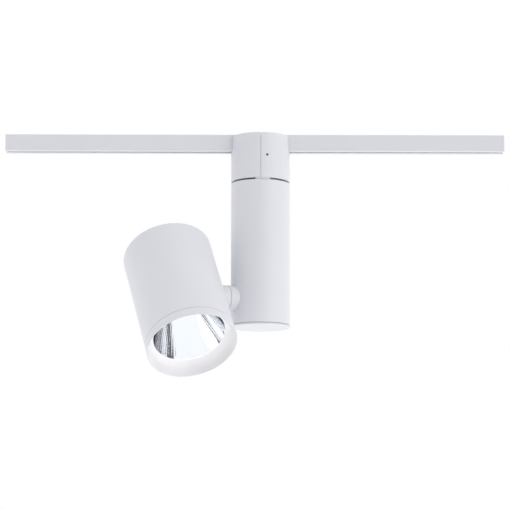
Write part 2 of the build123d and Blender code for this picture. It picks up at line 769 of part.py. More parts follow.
boss_inner = 51.47
axle_nut_height = 4.0
axle_nut_radius = 8.0
axle_washer_radius = 7.8
spring_washer_face = hub_inner_end - bracket_thickness - rub
for name, nut_start in (
    ("hinge_inner_nut", spring_washer_face - washer_thickness - fit - axle_nut_height),
    ("hinge_outer_nut", boss_inner + thread_fit),
):
    with BuildPart() as hinge_nut:
        nut_bore = axle_radius + thread_fit
        nut_plane = hinge_plane(nut_start)
        hex_nuts(nut_plane, ((0, 0),), axle_nut_radius, axle_nut_height, nut_bore)
    save(hinge_nut, name)

with BuildPart(hinge_plane(spring_washer_face)) as hinge_spring_washer:
    Cylinder(axle_washer_radius, washer_thickness, align=down)
    Cylinder(axle_radius + fit, washer_thickness, align=down, mode=Mode.SUBTRACT)
save(hinge_spring_washer, "hinge_spring_washer")

boss_face = hinge_split + turn_gap / 2
recess_radius = 7.0
recess_depth = 1.0
with BuildPart(hinge_plane(boss_face + recess_depth)) as hinge_friction_washer:
    friction_thickness = recess_depth + turn_gap - rub
    Cylinder(recess_radius - fit, friction_thickness, align=down)
    Cylinder(axle_radius + fit, friction_thickness, align=down, mode=Mode.SUBTRACT)
save(hinge_friction_washer, "hinge_friction_washer")

# --- Head: cast housing with the light engine, the reflector and the front ring ----------------

housing_front = head_front - ring_length
head_inner = head_radius - head_wall
stop_arc = CenterArc((0, 0), tilt_stop_circle, 90 - (tilt_range - tilt_angle), tilt_range)
lug_start = -14.0
lug_inner = 34.5
lug_outer = 47.0
lug_breadth = 9.0
stop_slot_width = 3.0
stop_slot_depth = 3.0
sink_screw_radius = 1.95
sink_hole_depth = 9.0
with BuildPart() as head_housing:
    turn_outline(head_section, head_axis, (
        (0, head_back),
        (head_radius, head_back),
        (head_radius, housing_front),
        (head_inner, housing_front),
        (head_inner, head_back + back_wall),
        (0, head_back + back_wall),
    ))
    outer_edges = edges().filter_by(GeomType.CIRCLE).group_by(SortBy.RADIUS)[-1]
    fillet(outer_edges.sort_by(head_axis)[0], radius=back_fillet)
    fillet(outer_edges.sort_by(head_axis)[-1], radius=front_edge)
    with BuildSketch(hinge_plane(boss_face)):
        Circle(hub_radius)
    extrude(amount=boss_inner - boss_face)
    boss_edges = edges().filter_by(GeomType.CIRCLE).sort_by(hinge_line)
    chamfer(boss_edges[0], edge_break)
    with BuildSketch(head_plane(lug_start)):
        with PolarLocations((lug_inner + lug_outer) / 2, 3):
            Rectangle(lug_outer - lug_inner, lug_breadth)
    extrude(amount=sink_seat - fit - lug_start)
    with BuildSketch(hinge_plane(boss_face)):
        Circle(axle_radius + thread_fit)
    extrude(amount=boss_inner - boss_face, mode=Mode.SUBTRACT)
    with BuildSketch(hinge_plane(boss_face)):
        Circle(recess_radius)
    extrude(amount=recess_depth, mode=Mode.SUBTRACT)
    with BuildSketch(hinge_plane(boss_face)):
        SlotArc(stop_arc, stop_slot_width)
    extrude(amount=stop_slot_depth, mode=Mode.SUBTRACT)
    with BuildSketch(head_plane(sink_seat)):
        with PolarLocations(lug_circle, 3):
            Circle(sink_screw_radius + thread_fit)
    extrude(amount=-sink_hole_depth, mode=Mode.SUBTRACT)
save(head_housing, "head_housing")

holder_screw_circle = 19.5
holder_screw_radius = 1.2
holder_hole_depth = 4.0
with BuildPart() as heat_sink:
    with BuildSketch(head_plane(sink_seat)):
        Circle(sink_radius)
    extrude(amount=sink_base)
    with BuildSketch(head_plane(fin_back)):
        with GridLocations(0, fin_pitch, 1, fin_count):
            Rectangle(2 * fin_radius, fin_thickness)
        Circle(fin_radius, mode=Mode.INTERSECT)
    extrude(amount=sink_seat - fin_back)
    with BuildSketch(head_plane(sink_seat)):
        with Locations((sink_notch_edge, 0)):
            notch_align = (Align.MAX, Align.CENTER)
            Rectangle(sink_radius, sink_notch_width, align=notch_align)
        with PolarLocations(lug_circle, 3):
            Circle(sink_screw_radius + fit)
    extrude(amount=sink_base, mode=Mode.SUBTRACT)
    with BuildSketch(head_plane(sink_front)):
        with PolarLocations(holder_screw_circle, 2, start_angle=90):
            Circle(holder_screw_radius + thread_fit)
    extrude(amount=-holder_hole_depth, mode=Mode.SUBTRACT)
save(heat_sink, "heat_sink")

sink_cap_radius = 3.5
sink_cap_height = 2.4
sink_socket_radius = 1.4
sink_screw_length = 14.0
with BuildPart(head_plane(sink_front + thread_fit)) as sink_screws:
    with PolarLocations(lug_circle, 3):
        Cylinder(sink_cap_radius, sink_cap_height, align=up)
        Cylinder(sink_socket_radius, sink_cap_height, align=up, mode=Mode.SUBTRACT)
        Cylinder(sink_screw_radius, sink_screw_length, align=down)
save(sink_screws, "sink_screws")

with BuildPart(head_plane(sink_front + thread_fit)) as led_board:
    Box(board_size, board_size, board_front - sink_front - thread_fit, align=up)
save(led_board, "led_board")

emitter_thickness = 0.8
emitter_chamfer = 0.3
with BuildPart(head_plane(board_front)) as led_emitter:
    Cylinder(emitter_radius, emitter_thickness, align=up)
    rims = edges().filter_by(GeomType.CIRCLE).sort_by(head_axis)
    chamfer(rims[-1], length=emitter_chamfer)
save(led_emitter, "led_emitter")

holder_front = reflector_back - 0.4
holder_flare = 1.4
board_pocket = 20.3
with BuildPart() as led_holder:
    turn_outline(head_section, head_axis, (
        (holder_bore, board_front + thread_fit),
        (holder_bore + holder_flare, holder_front),
        (holder_radius, holder_front),
        (holder_radius, sink_front + thread_fit),
        (board_pocket, sink_front + thread_fit),
        (board_pocket, board_front + thread_fit),
    ))
    with BuildSketch(head_plane(sink_front)):
        with PolarLocations(holder_screw_circle, 2, start_angle=90):
            Circle(holder_screw_radius + fit)
    extrude(amount=holder_front - sink_front, mode=Mode.SUBTRACT)
save(led_holder, "led_holder")

holder_cap_radius = 1.8
holder_cap_height = 1.3
holder_screw_length = 8.6
with BuildPart(head_plane(holder_front + thread_fit)) as holder_screws:
    with PolarLocations(holder_screw_circle, 2, start_angle=90):
        Cylinder(holder_cap_radius, holder_cap_height, align=up)
        Cylinder(holder_screw_radius, holder_screw_length, align=down)
save(holder_screws, "holder_screws")

led_route = ((-46.0, 0.0), (-38.0, 0.0), (-32.0, 4.5), (-27.5, 8.5), (-23.4, 8.5))
with BuildPart() as led_leads:
    for side in (-1, 1):
        round_lead([
            head_plane(front).from_local_coords(Vector(along, side * lead_offset, 0))
            for along, front in led_route
        ])
save(led_leads, "led_leads")

flange_radius = 43.3
reflector_front = mouth - 0.7
sheet = 0.8
bulge_radius = (reflector_neck + mouth_radius) / 2
bulge_front = 23.7
with BuildPart() as reflector:
    with BuildSketch(head_section):
        with BuildLine():
            Bezier(
                (reflector_neck, reflector_back),
                (bulge_radius, bulge_front),
                (mouth_radius, reflector_front),
            )
            Polyline(
                (mouth_radius, reflector_front),
                (flange_radius, reflector_front),
                (flange_radius, reflector_front - sheet),
                (mouth_radius + sheet, reflector_front - sheet),
            )
            Bezier(
                (mouth_radius + sheet, reflector_front - sheet),
                (bulge_radius + sheet, bulge_front - sheet / 2),
                (reflector_neck + sheet, reflector_back),
            )
            Line((reflector_neck + sheet, reflector_back), (reflector_neck, reflector_back))
        make_face()
    revolve(axis=head_axis)
save(reflector, "reflector")

sleeve_outer = 45.6
sleeve_inner = 43.6
sleeve_lip = 41.2
sleeve_notch_width = 31.0
sleeve_notch_length = 10.5
with BuildPart() as reflector_carrier:
    turn_outline(head_section, head_axis, (
        (sleeve_inner, sink_front + thread_fit),
        (sleeve_outer, sink_front + thread_fit),
        (sleeve_outer, reflector_front - sheet - thread_fit),
        (sleeve_lip, reflector_front - sheet - thread_fit),
        (sleeve_lip, reflector_front - 2 * sheet),
        (sleeve_inner, reflector_front - 2 * sheet),
    ))
    with BuildSketch(head_plane(sink_front)):
        with Locations((-sleeve_inner, 0)):
            Rectangle(sleeve_notch_width / 2, sleeve_notch_width)
    extrude(amount=sleeve_notch_length, mode=Mode.SUBTRACT)
save(reflector_carrier, "reflector_carrier")

ring_lip = mouth - 0.5
with BuildPart() as front_ring:
    turn_outline(head_section, head_axis, (
        (head_radius, ring_back),
        (head_radius, head_front),
        (head_radius - mouth_chamfer, head_front),
        (cone_radius, head_front - cone_depth),
        (mouth_radius, mouth),
        (mouth_radius, ring_lip),
        (head_inner - fit, ring_lip),
        (head_inner - fit, ring_back),
    ))
    round_rims(head_axis, ring_edge)
save(front_ring, "front_ring")
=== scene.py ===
import json
import math

import bmesh
import bpy
import numpy as np
from mathutils import Matrix, Vector


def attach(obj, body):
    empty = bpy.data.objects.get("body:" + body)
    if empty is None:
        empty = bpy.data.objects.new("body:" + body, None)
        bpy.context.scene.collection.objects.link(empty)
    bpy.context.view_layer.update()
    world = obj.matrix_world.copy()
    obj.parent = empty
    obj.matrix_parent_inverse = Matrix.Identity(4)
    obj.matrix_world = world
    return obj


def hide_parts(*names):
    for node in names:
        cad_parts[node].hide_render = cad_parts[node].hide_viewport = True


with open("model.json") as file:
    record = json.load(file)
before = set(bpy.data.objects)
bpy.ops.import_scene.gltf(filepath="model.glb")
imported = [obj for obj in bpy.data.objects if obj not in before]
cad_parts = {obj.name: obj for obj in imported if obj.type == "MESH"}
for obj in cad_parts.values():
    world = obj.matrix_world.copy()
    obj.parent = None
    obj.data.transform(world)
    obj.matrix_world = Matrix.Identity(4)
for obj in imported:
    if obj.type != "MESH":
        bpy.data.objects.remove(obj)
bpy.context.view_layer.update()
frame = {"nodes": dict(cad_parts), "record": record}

# --- Studio -------------------------------------------------------------------------------------
# The lamp hangs in a white tent above a pale board. A long lens looks slightly up at it from
# 2.2 m in front. The tent is brightest on the camera's right, and dark in a band from just right
# of the lens to low on its left, which shows as the dark bands in the reflector.

scene = bpy.context.scene
scene.view_settings.view_transform = "Standard"

camera_place = Vector((-0.01438, -2.21306, -0.51033))
camera_rise = math.radians(9.655)
camera_turn = math.radians(-0.22)
camera_roll = math.radians(-0.073)
camera_look = Vector((
    -math.sin(camera_turn) * math.cos(camera_rise),
    math.cos(camera_turn) * math.cos(camera_rise),
    math.sin(camera_rise),
))
camera_right = Vector((math.cos(camera_turn), math.sin(camera_turn), 0))
camera_right = Matrix.Rotation(camera_roll, 3, camera_look) @ camera_right
camera = bpy.data.objects.new("camera", bpy.data.cameras.new("camera"))
scene.collection.objects.link(camera)
camera.data.sensor_width = 36
camera.data.lens = 143.69
camera.data.clip_end = 50
camera_axes = Matrix((camera_right, camera_right.cross(camera_look), -camera_look)).transposed()
camera.matrix_world = Matrix.Translation(camera_place) @ camera_axes.to_4x4()
scene.camera = camera


def linear(colour):
    """Turn a six-digit sRGB colour into linear red, green, blue and alpha."""
    parts = [int(colour[i:i + 2], 16) / 255 for i in (0, 2, 4)]
    return [c / 12.92 if c <= 0.04045 else ((c + 0.055) / 1.055) ** 2.4 for c in parts] + [1.0]


def add(tree, kind, **settings):
    """Add a shader node. Settings with a capital are sockets, by name or identifier: a node or
    an output is linked to its socket, and anything else is set as its value. The rest are the
    node's own properties."""
    node = tree.nodes.new("ShaderNode" + kind)
    for name, value in settings.items():
        if not name[0].isupper():
            setattr(node, name, value)
    for name, value in settings.items():
        if not name[0].isupper():
            continue
        wanted = name.replace("_", " ")
        socket = next(s for s in node.inputs if s.identifier in (name, wanted))
        if isinstance(value, bpy.types.Node):
            value = next(output for output in value.outputs if output.enabled)
        if isinstance(value, bpy.types.NodeSocket):
            tree.links.new(value, socket)
        else:
            socket.default_value = value
    return node


tent = bpy.data.worlds.new("white_tent")
scene.world = tent
tent.use_nodes = True
tree = tent.node_tree
tree.nodes.clear()
direction = add(tree, "TexCoord").outputs["Generated"]


def toward(turn, rise):
    """Direction from the lamp, this many degrees to the camera's right of the lens, and above it."""
    turn, rise = math.radians(turn), math.radians(rise)
    return Vector((math.sin(turn) * math.cos(rise), -math.cos(turn) * math.cos(rise), math.sin(rise)))


def reach(vector):
    """How far the direction reaches along a vector."""
    return add(tent.node_tree, "VectorMath", operation="DOT_PRODUCT", Vector=direction,
               Vector_001=vector).outputs["Value"]


# The tent's own strength rises to that of the lit side over a round patch, and by a slight
# slope towards the left and the bottom.
tent_slope = (-0.02, 0.0, -0.08)
tent_strength = 1.07
lit_strength = 1.72
lit_middle = toward(38, 5)
lit_radius = math.radians(42)
slope = reach(tent_slope)
lit_side = add(tree, "MapRange", interpolation_type="SMOOTHSTEP", Value=reach(lit_middle),
               From_Min=math.cos(lit_radius), From_Max=1.0, To_Min=tent_strength, To_Max=lit_strength)
bright = add(tree, "Math", operation="ADD", Value=slope, Value_001=lit_side)

# The dark band is an ellipse on the sphere of directions, its edge soft from 0.85 to 1.1 of its
# size. A direction on the far side counts as further off, so that the band isn't seen twice.
dark_strength = 0.14
dark_middle = toward(-24, -17)
dark_right_end = toward(12, 8)
dark_left_end = toward(-60, -45)
dark_half_length = math.sin(math.radians(62))
dark_half_width = math.sin(math.radians(27))
dark_edge_inside = 0.85
dark_edge_outside = 1.1
far_side_weight = 4
dark_along = dark_right_end - dark_left_end
dark_along = (dark_along - dark_middle * dark_along.dot(dark_middle)).normalized()
dark_across = dark_along.cross(dark_middle)
behind = add(tree, "Math", operation="MINIMUM", Value=reach(far_side_weight * dark_middle), Value_001=0.0)
spread = add(tree, "CombineXYZ", X=reach(dark_along / dark_half_length),
             Y=reach(dark_across / dark_half_width), Z=behind)
distance = add(tree, "VectorMath", operation="LENGTH", Vector=spread).outputs["Value"]
opening = add(tree, "MapRange", interpolation_type="SMOOTHSTEP", Value=distance,
              From_Min=dark_edge_inside, From_Max=dark_edge_outside, To_Min=dark_strength, To_Max=1.0)
light = add(tree, "Math", operation="MULTIPLY", Value=bright, Value_001=opening)

# The lens itself sees a plain white backdrop instead of the tent, and doesn't see the board.
tent_light = add(tree, "Background", Color=linear("FDFDFF"), Strength=light)
backdrop = add(tree, "Background", Color=linear("FFFFFF"), Strength=1.0)
seen = add(tree, "MixShader", Shader=tent_light, Shader_001=backdrop)
tree.links.new(add(tree, "LightPath").outputs["Is Camera Ray"], seen.inputs[0])
add(tree, "OutputWorld", Surface=seen)

floor_height = -1.2
floor_half = 2.0
floor_steps = 9
floor_x, floor_y = np.meshgrid(*[np.linspace(-floor_half, floor_half, floor_steps)] * 2, indexing="ij")
floor_points = np.stack([floor_x, floor_y, np.full_like(floor_x, floor_height)], axis=-1)
corner = np.arange(floor_steps * floor_steps).reshape(floor_steps, floor_steps)
floor_quads = np.stack([corner[:-1, :-1], corner[1:, :-1], corner[1:, 1:], corner[:-1, 1:]], axis=-1)
floor_mesh = bpy.data.meshes.new("pale_board")
floor_mesh.from_pydata(floor_points.reshape(-1, 3).tolist(), [], floor_quads.reshape(-1, 4).tolist())
floor = bpy.data.objects.new("pale_board", floor_mesh)
scene.collection.objects.link(floor)


def finish(name):
    """Start a material: give its node tree, its shader and its Object coordinates."""
    material = bpy.data.materials.new(name)
    material.use_nodes = True
    tree = material.node_tree
    return material, tree, tree.nodes["Principled BSDF"], add(tree, "TexCoord").outputs["Object"]


# Matt white card, faintly mottled by its fibres and lit a little from beneath.
card, tree, shader, place = finish("matt_white_card")
fibres = add(tree, "TexNoise", Vector=place, Scale=300.0, Detail=4.0)
tint = add(tree, "Mix", data_type="RGBA", Factor_Float=fibres, A_Color=linear("F4F5F6"),
           B_Color=linear("FAFAFA"))
tree.links.new(tint.outputs["Result"], shader.inputs["Base Color"])
card_bump = add(tree, "Bump", Strength=0.1, Distance=0.0003, Height=fibres)
tree.links.new(card_bump.outputs["Normal"], shader.inputs["Normal"])
shader.inputs["Roughness"].default_value = 0.9
shader.inputs["Emission Color"].default_value = linear("FFFFFF")
shader.inputs["Emission Strength"].default_value = 0.18
floor_mesh.materials.append(card)
floor.visible_camera = False

# --- Track profile ------------------------------------------------------------------------------
# The channel that carries the lamp: aluminium, extruded and cut, then powder coated white. It is
# screwed to the ceiling through its back.

MILLIMETRE = 0.001


def dress(names, material):
    """Give CAD nodes their material."""
    for name in names:
        frame["nodes"][name].data.materials.clear()
        frame["nodes"][name].data.materials.append(material)


def powder_coat(name, colour):
    """White polyester powder, sprayed and baked: satin, with the soft ripple called orange peel.
    The real ripple is about 1 mm wide; it is drawn 1.8 mm wide so that it shows."""
    material, tree, shader, place = finish(name)
    ripple = add(tree, "TexNoise", Vector=place, Scale=1 / (1.8 * MILLIMETRE), Detail=1.0)
    grain = add(tree, "TexNoise", Vector=place, Scale=1 / (0.25 * MILLIMETRE), Detail=2.0)
    cloud = add(tree, "TexNoise", Vector=place, Scale=1 / (35 * MILLIMETRE), Detail=2.0)
    height = add(tree, "Mix", data_type="FLOAT", Factor_Float=0.12, A_Float=ripple, B_Float=grain)
    bump = add(tree, "Bump", Strength=1.0, Distance=0.012 * MILLIMETRE, Height=height)
    tint = add(tree, "Mix", data_type="RGBA", blend_type="MULTIPLY", Factor_Float=1.0,
               A_Color=linear(colour))
    shade = add(tree, "MapRange", Value=cloud, From_Min=0.3, From_Max=0.7, To_Min=0.985, To_Max=1.0)
    tree.links.new(shade.outputs["Result"], tint.inputs["B"])
    sheen = add(tree, "MapRange", Value=grain, From_Min=0.3, From_Max=0.7, To_Min=0.4, To_Max=0.48)
    tree.links.new(tint.outputs["Result"], shader.inputs["Base Color"])
    tree.links.new(sheen.outputs["Result"], shader.inputs["Roughness"])
    tree.links.new(bump.outputs["Normal"], shader.inputs["Normal"])
    shader.inputs["IOR"].default_value = 1.5
    return material


white_coat = powder_coat("white_powder_coat", "E1E2E6")
dress(["track_profile"], white_coat)

# --- Track liner and conductors -----------------------------------------------------------------
# A black PVC extrusion slides into the channel and insulates it. Two bare copper strips are
# pressed into its sides, and the adapter's springs rub along them.


def drawn_lines(tree, place, width, stretch=60.0):
    """Noise drawn out along X, as the marks of an extrusion or a drawn strip are."""
    along = add(tree, "Mapping", Vector=place, Scale=(1 / stretch, 1.0, 1.0))
    return add(tree, "TexNoise", Vector=along, Scale=1 / width, Detail=2.0)


# Extruded PVC: nearly matt, with faint lines along the run.
black_pvc, tree, shader, place = finish("extruded_black_pvc")
lines = drawn_lines(tree, place, 0.6 * MILLIMETRE)
bump = add(tree, "Bump", Strength=1.0, Distance=0.01 * MILLIMETRE, Height=lines)
tint = add(tree, "Mix", data_type="RGBA", Factor_Float=lines, A_Color=linear("1C1C1E"),
           B_Color=linear("262628"))
tree.links.new(tint.outputs["Result"], shader.inputs["Base Color"])
tree.links.new(bump.outputs["Normal"], shader.inputs["Normal"])
shader.inputs["Roughness"].default_value = 0.5
shader.inputs["IOR"].default_value = 1.54
dress(["track_liner"], black_pvc)

# Drawn copper: bright, with brown tarnish in cloudy patches and rub marks along the strip.
copper, tree, shader, place = finish("drawn_bare_copper")
lines = drawn_lines(tree, place, 0.4 * MILLIMETRE)
patches = add(tree, "TexNoise", Vector=place, Scale=1 / (9 * MILLIMETRE), Detail=4.0)
tint = add(tree, "Mix", data_type="RGBA", Factor_Float=patches, A_Color=linear("E8A988"),
           B_Color=linear("A8664A"))
rough = add(tree, "MapRange", Value=lines, From_Min=0.3, From_Max=0.7, To_Min=0.2, To_Max=0.42)
bump = add(tree, "Bump", Strength=1.0, Distance=0.004 * MILLIMETRE, Height=lines)
tree.links.new(tint.outputs["Result"], shader.inputs["Base Color"])
tree.links.new(rough.outputs["Result"], shader.inputs["Roughness"])
tree.links.new(bump.outputs["Normal"], shader.inputs["Normal"])
shader.inputs["Metallic"].default_value = 1.0
dress(["live_conductor", "neutral_conductor"], copper)

# --- Adapter shells and key ---------------------------------------------------------------------
# Two half shells that close round the track, die-cast in aluminium and powder coated, with a
# small key that covers the foot of their seam.

dress(["adapter_shell_left", "adapter_shell_right", "seam_key"], white_coat)

# --- Adapter base and its screws ----------------------------------------------------------------
# A turned aluminium disc closes the adapter below. Four countersunk socket screws hold it to
# the shells' bosses, two to each half.

# Turned aluminium: rings left by the tool, here about 0.6 mm apart so that they show. A wave
# texture repeats each 2 pi / 20 of its coordinate.
turned_aluminium, tree, shader, place = finish("turned_aluminium")
rings = add(tree, "TexWave", wave_type="RINGS", rings_direction="Z", Vector=place,
            Scale=1 / (2 * math.pi * 0.3 * MILLIMETRE), Distortion=0.4)
smudge = add(tree, "TexNoise", Vector=place, Scale=1 / (12 * MILLIMETRE), Detail=3.0)
tint = add(tree, "Mix", data_type="RGBA", Factor_Float=smudge, A_Color=linear("DDDEE0"),
           B_Color=linear("C4C6C9"))
rough = add(tree, "MapRange", Value=smudge, From_Min=0.3, From_Max=0.7, To_Min=0.25, To_Max=0.4)
bump = add(tree, "Bump", Strength=1.0, Distance=0.003 * MILLIMETRE, Height=rings)
tree.links.new(tint.outputs["Result"], shader.inputs["Base Color"])
tree.links.new(rough.outputs["Result"], shader.inputs["Roughness"])
tree.links.new(bump.outputs["Normal"], shader.inputs["Normal"])
shader.inputs["Metallic"].default_value = 1.0
dress(["adapter_base", "column_top_plate"], turned_aluminium)


def dull_metal(name, colour, tarnish, roughness):
    """Plated or phosphated steel, or bare cast aluminium: a cloudy film over metal, with fine
    handling marks."""
    material, tree, shader, place = finish(name)
    cloud = add(tree, "TexNoise", Vector=place, Scale=1 / (4 * MILLIMETRE), Detail=4.0)
    marks = add(tree, "TexNoise", Vector=place, Scale=1 / (0.3 * MILLIMETRE), Detail=2.0)
    tint = add(tree, "Mix", data_type="RGBA", Factor_Float=cloud, A_Color=linear(colour),
               B_Color=linear(tarnish))
    rough = add(tree, "MapRange", Value=marks, From_Min=0.3, From_Max=0.7,
                To_Min=roughness - 0.07, To_Max=roughness + 0.07)
    bump = add(tree, "Bump", Strength=1.0, Distance=0.003 * MILLIMETRE, Height=marks)
    tree.links.new(tint.outputs["Result"], shader.inputs["Base Color"])
    tree.links.new(rough.outputs["Result"], shader.inputs["Roughness"])
    tree.links.new(bump.outputs["Normal"], shader.inputs["Normal"])
    shader.inputs["Metallic"].default_value = 1.0
    return material


zinc_steel = dull_metal("bright_zinc_plated_steel", "D9DCE2", "B4B9BF", 0.3)


def axes(origin, across, along):
    """Local axes at a place in millimetres: X across, Z along, Y completing them."""
    across, along = np.asarray(across, float), np.asarray(along, float)
    return np.asarray(origin, float), np.array([across, np.cross(along, across), along])


def stand(points, placing):
    """Carry points from local axes into the lamp's own: origin plus each coordinate times its axis."""
    origin, directions = placing
    return origin + points @ directions


def lathe(radius, station, turns):
    """Points round Z: a row for each point of the outline, a column for each of the turns. A
    row's radius is one number, or one for each turn."""
    angle = np.linspace(0, 2 * math.pi, turns, endpoint=False)
    radius = [np.broadcast_to(r, turns) for r in radius]
    return np.stack([
        radius * np.cos(angle), radius * np.sin(angle),
        np.broadcast_to(np.asarray(station, float)[:, None], (len(station), turns)),
    ], axis=-1)


def skin(name, material, grids, crease=30.0):
    """Make one piece of closed skins from grids of points in millimetres. Columns wrap round, and
    so do rows, unless the first row is a pole. Faces turn outwards where the skin's volume,
    a sixth of the sum of each face's triple products, would be negative."""
    vertices, faces, count = [], [], 0
    for grid in grids:
        rows, columns = grid.shape[:2]
        index = np.arange(rows * columns).reshape(rows, columns)
        if np.ptp(grid[0], axis=0).max() > 1e-6:
            index = np.vstack([index, index[:1]])
        index = np.hstack([index, index[:, :1]])
        quads = np.stack([index[:-1, :-1], index[1:, :-1], index[1:, 1:], index[:-1, 1:]], axis=-1)
        quads = quads.reshape(-1, 4)
        points = grid.reshape(-1, 3)
        a, b, c, d = (points[quads[:, k]] - points.mean(axis=0) for k in range(4))
        if (np.cross(a, b) * c + np.cross(a, c) * d).sum() < 0:
            quads = quads[:, ::-1]
        vertices.append(points * MILLIMETRE)
        faces.append(quads + count)
        count += len(points)
    mesh = bpy.data.meshes.new(name)
    mesh.from_pydata(np.concatenate(vertices).tolist(), [], np.concatenate(faces).tolist())
    joined = bmesh.new()
    joined.from_mesh(mesh)
    bmesh.ops.remove_doubles(joined, verts=joined.verts, dist=1e-7)
    joined.to_mesh(mesh)
    joined.free()
    mesh.polygons.foreach_set("use_smooth", np.ones(len(mesh.polygons), dtype=bool))
    mesh.set_sharp_from_angle(angle=math.radians(crease))
    mesh.materials.append(material)
    piece = bpy.data.objects.new(name, mesh)
    scene.collection.objects.link(piece)
    return piece


def hexagon(corner, turns):
    """Radius of a hexagon at each turn: its flat's distance over the cosine of the angle off it."""
    angle = np.degrees(np.linspace(0, 2 * math.pi, turns, endpoint=False))
    return corner * math.cos(math.pi / 6) / np.cos(np.radians((angle + 30) % 60 - 30))


def thread(radius, depth, pitch, start, end, turns):
    """Rows of a screw thread: the radius falls and rises by its depth once in each pitch, and
    the turn's share of a pitch makes it a helix. A negative depth cuts outwards, as in a nut."""
    angle = np.linspace(0, 1, turns, endpoint=False)
    station = np.linspace(start, end, 2 + 6 * round(abs(end - start) / pitch))
    fraction = (station[:, None] / pitch + angle) % 1.0
    return radius - depth * np.abs(2 * fraction - 1), station


def socket_screw(shank, length, cap, height, socket, bearing, pitch, turns=36):
    """A screw along Z, head up, bearing at height 0: socket floor, hexagon wall, rounded cap,
    bearing face (as wide as the shank under a countersunk head), thread and blunt tip."""
    edge, tip = 0.15 * height, 0.6 * pitch
    coil, coil_station = thread(shank, 0.35 * pitch, pitch, 0, tip - length, turns)
    key = hexagon(socket, turns)
    floor_station = 0.3 * height
    return lathe(
        [0, key, key, cap - edge, cap - 0.3 * edge, cap, bearing, *coil, 0.7 * shank, 0],
        [floor_station, floor_station, height, height, height - 0.3 * edge, height - edge, 0,
         *coil_station, -length, -length],
        turns,
    )


up = (0, 0, 1)
down = (0, 0, -1)
adapter_bottom = -52.8
boss_circle = 24.0
base_screw_head = 1.5


def ring_places(circle, angles):
    """Places on a circle, in local millimetres."""
    return [(circle * math.cos(math.radians(a)), circle * math.sin(math.radians(a)), 0) for a in angles]


base_screw = socket_screw(shank=1.45, length=8.5, cap=2.9, height=base_screw_head, socket=0.95,
                          bearing=1.45, pitch=0.6)
base_places = ring_places(boss_circle, (45, 135, 225, 315))
base_screws = skin("base_screw_set", zinc_steel, [
    stand(base_screw, axes((x, y, adapter_bottom + base_screw_head), (1, 0, 0), down))
    for x, y, _ in base_places
])
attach(base_screws, "adapter")
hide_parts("base_screws")

# --- Contact carrier and springs ----------------------------------------------------------------
# Glass-filled nylon block with a neck that reaches into the track's slot. Two bent strips of
# beryllium copper on the neck press against the conductors.


def moulded(name, colour, grain, roughness):
    """Moulded plastic: an even spark-eroded grain from the mould, a little uneven in gloss."""
    material, tree, shader, place = finish(name)
    bumps = add(tree, "TexNoise", Vector=place, Scale=1 / (grain * MILLIMETRE), Detail=2.0)
    flow = add(tree, "TexNoise", Vector=place, Scale=1 / (15 * MILLIMETRE), Detail=1.0)
    shade = add(tree, "MapRange", Value=flow, From_Min=0.3, From_Max=0.7, To_Min=0.94, To_Max=1.0)
    tint = add(tree, "Mix", data_type="RGBA", blend_type="MULTIPLY", Factor_Float=1.0,
               A_Color=linear(colour), B_Color=shade)
    rough = add(tree, "MapRange", Value=bumps, From_Min=0.3, From_Max=0.7,
                To_Min=roughness - 0.06, To_Max=roughness + 0.06)
    bump = add(tree, "Bump", Strength=1.0, Distance=0.012 * MILLIMETRE, Height=bumps)
    tree.links.new(tint.outputs["Result"], shader.inputs["Base Color"])
    tree.links.new(rough.outputs["Result"], shader.inputs["Roughness"])
    tree.links.new(bump.outputs["Normal"], shader.inputs["Normal"])
    shader.inputs["IOR"].default_value = 1.53
    return material


black_nylon = moulded("glass_filled_black_nylon", "222224", 0.5, 0.5)
dress(["contact_carrier"], black_nylon)
dress(["contact_springs"], copper)

# --- Track clamps and set screw -----------------------------------------------------------------
# Two T-headed bolts pull the adapter up against the track's lips with hexagon nuts, and one
# set screw through the right half locks it along the track.

dress(["clamp_bolts"], zinc_steel)


def hex_nut(corner, height, bore, pitch, turns=72):
    """A nut along Z from height 0: threaded bore, and flats cut back at both faces by a cone."""
    outer = hexagon(corner, turns)
    station = np.concatenate([np.linspace(0, 0.25 * height, 6), np.linspace(0.75 * height, height, 6)])
    from_face = np.minimum(station, height - station)[:, None]
    flats = np.minimum(outer, 0.95 * corner * math.cos(math.pi / 6) + 1.7 * from_face)
    coil, coil_station = thread(bore, -0.2 * pitch, pitch, height, 0, turns)
    return lathe([*flats, *coil], [*station, *coil_station], turns)


clamp_spacing = 48.0
clamp_nut_bottom = -24.3
clamp_nut = hex_nut(corner=4.0, height=4.0, bore=2.15, pitch=0.7)
clamp_nuts = skin("clamp_nut_pair", zinc_steel, [
    stand(clamp_nut, axes((side * clamp_spacing / 2, 0, clamp_nut_bottom), (1, 0, 0), up))
    for side in (-1, 1)
])
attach(clamp_nuts, "adapter")
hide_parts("clamp_nuts")

dark_steel = dull_metal("grey_phosphated_steel", "8E9196", "6F7277", 0.5)
set_screw_angle = math.radians(13.0)
set_screw_height = -27.3
set_screw_face = 31.6
set_screw_head = 2.5
set_screw_out = (math.sin(set_screw_angle), -math.cos(set_screw_angle), 0)
set_screw_place = np.array(set_screw_out) * (set_screw_face - set_screw_head) + (0, 0, set_screw_height)
set_screw_shape = socket_screw(shank=1.3, length=9.2, cap=1.3, height=set_screw_head, socket=0.8,
                               bearing=1.3, pitch=0.5)
set_screw = skin("adapter_set_screw", dark_steel, [
    stand(set_screw_shape, axes(set_screw_place, up, set_screw_out))
])
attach(set_screw, "adapter")
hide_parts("set_screw")

# --- Swivel -------------------------------------------------------------------------------------
# A hollow threaded steel tube, gripped by a nut above, is the pivot that the column turns on.
# A waved spring washer and a lower nut keep a steady drag, and a grey steel pin stops the turn.


